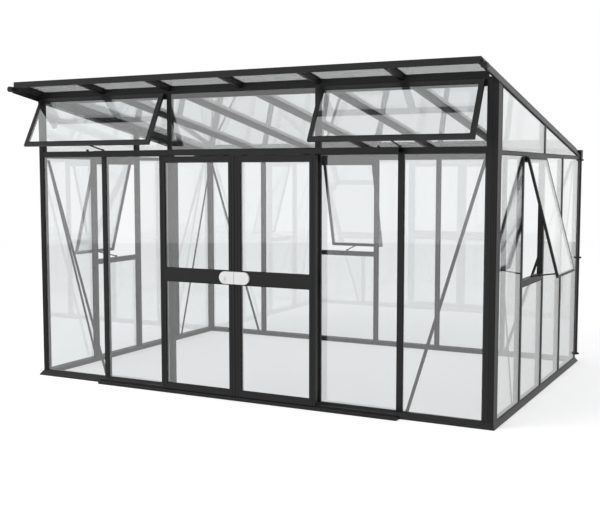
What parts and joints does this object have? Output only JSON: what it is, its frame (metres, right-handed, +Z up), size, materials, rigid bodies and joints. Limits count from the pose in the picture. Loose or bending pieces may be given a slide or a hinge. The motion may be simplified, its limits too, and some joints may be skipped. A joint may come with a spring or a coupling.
{
  "type": "glass greenhouse",
  "caption": "Free-standing aluminium greenhouse with a single-pitch glass roof, sliding front doors, opened front vents and side windows.",
  "frame": {"origin": "middle of the base on the ground, under the middle of the overall box", "axes": "+X along the front to the right as seen from the front, +Y from the front wall to the back wall, +Z up"},
  "size_m": [4.9734, 3.6228, 2.7388],
  "materials": {
    "wall_frame": "anthracite powder coat, satin",
    "roof_frame": "anthracite powder coat, satin",
    "base_frame": "anthracite powder coat, satin",
    "door_frame": "anthracite powder coat, satin",
    "rainwater": "anthracite powder coat, satin",
    "fittings": "black moulded plastic and coated steel",
    "handle": "pale grey moulded plastic",
    "glass": "clear toughened sheet glass"
  },
  "bodies": {
    "frame": {"back_corner_posts": "wall_frame", "back_head_beam": "wall_frame", "back_sill": "base_frame", "back_wall_glass": "glass", "back_wall_posts": "wall_frame", "clerestory_glass": "glass", "clerestory_posts": "wall_frame", "downpipe": "rainwater", "front_corner_posts": "wall_frame", "front_glass": "glass", "front_head_beam": "wall_frame", "front_posts": "wall_frame", "front_sill": "base_frame", "front_transom": "wall_frame", "gable_glass": "glass", "gable_posts": "wall_frame", "gutter": "rainwater", "head_track": "base_frame", "left_sill": "base_frame", "left_wall_glass": "glass", "left_wall_posts": "wall_frame", "opening_hinges": "wall_frame", "opening_stays": "fittings", "right_sill": "base_frame", "right_wall_glass": "glass", "right_wall_posts": "wall_frame", "roof_fascia": "roof_frame", "roof_glass": "glass", "roof_rafters": "roof_frame", "side_rails": "wall_frame", "threshold_track": "base_frame", "vent_frames": "wall_frame", "vent_glass": "glass", "verge_rails": "roof_frame", "wall_braces": "wall_frame", "window_frames": "wall_frame", "window_glass": "glass", "window_rails": "wall_frame"},
    "left_door": {"left_door_frame": "door_frame", "left_door_glass": "glass", "left_door_handle": "handle", "left_door_rollers": "fittings"},
    "right_door": {"right_door_frame": "door_frame", "right_door_glass": "glass", "right_door_handle": "handle", "right_door_rollers": "fittings"}
  },
  "joints": [
    {"name": "left_door_slide", "type": "slide", "parent": "frame", "child": "left_door", "axis": [-1, 0, 0], "range_m": [0, 0.7]},
    {"name": "right_door_slide", "type": "slide", "parent": "frame", "child": "right_door", "axis": [1, 0, 0], "range_m": [0, 0.7]}
  ]
}
